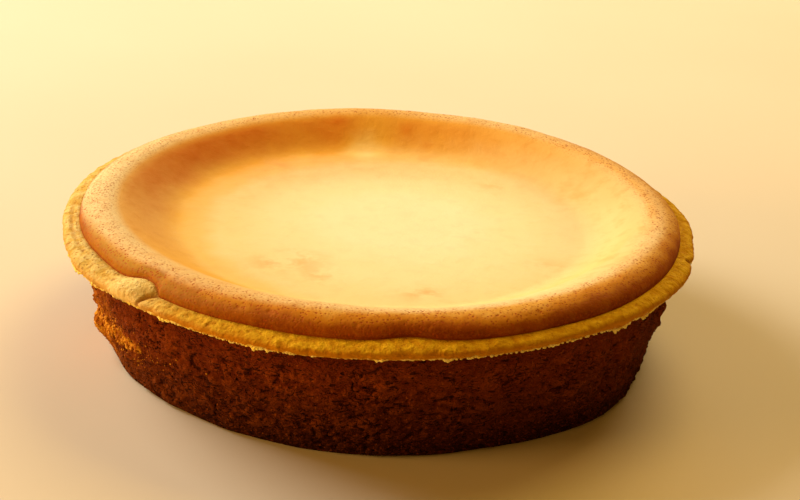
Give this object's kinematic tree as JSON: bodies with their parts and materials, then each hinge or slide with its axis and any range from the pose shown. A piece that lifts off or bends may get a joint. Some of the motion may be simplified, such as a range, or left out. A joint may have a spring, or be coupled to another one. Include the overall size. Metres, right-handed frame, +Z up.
{
  "type": "baked cheesecake",
  "caption": "Whole round baked cheesecake: a domed filling with a sunken middle, in a tapered shortcrust case with a ragged lip. Stands on its flat underside.",
  "frame": {"origin": "centre of the flat underside, on the surface that the cake stands on", "axes": "+Z up through the sunken middle; -Y towards the side usually seen; +X to the right from there"},
  "size_m": [0.2601, 0.2606, 0.0587],
  "materials": {
    "shortcrust": "baked brown, craggy side, paler ragged lip",
    "custard": "pale yellow middle, browned crest, fine pinholes"
  },
  "bodies": {
    "root": {"pastry_case": "shortcrust", "filling": "custard"}
  },
  "joints": []
}
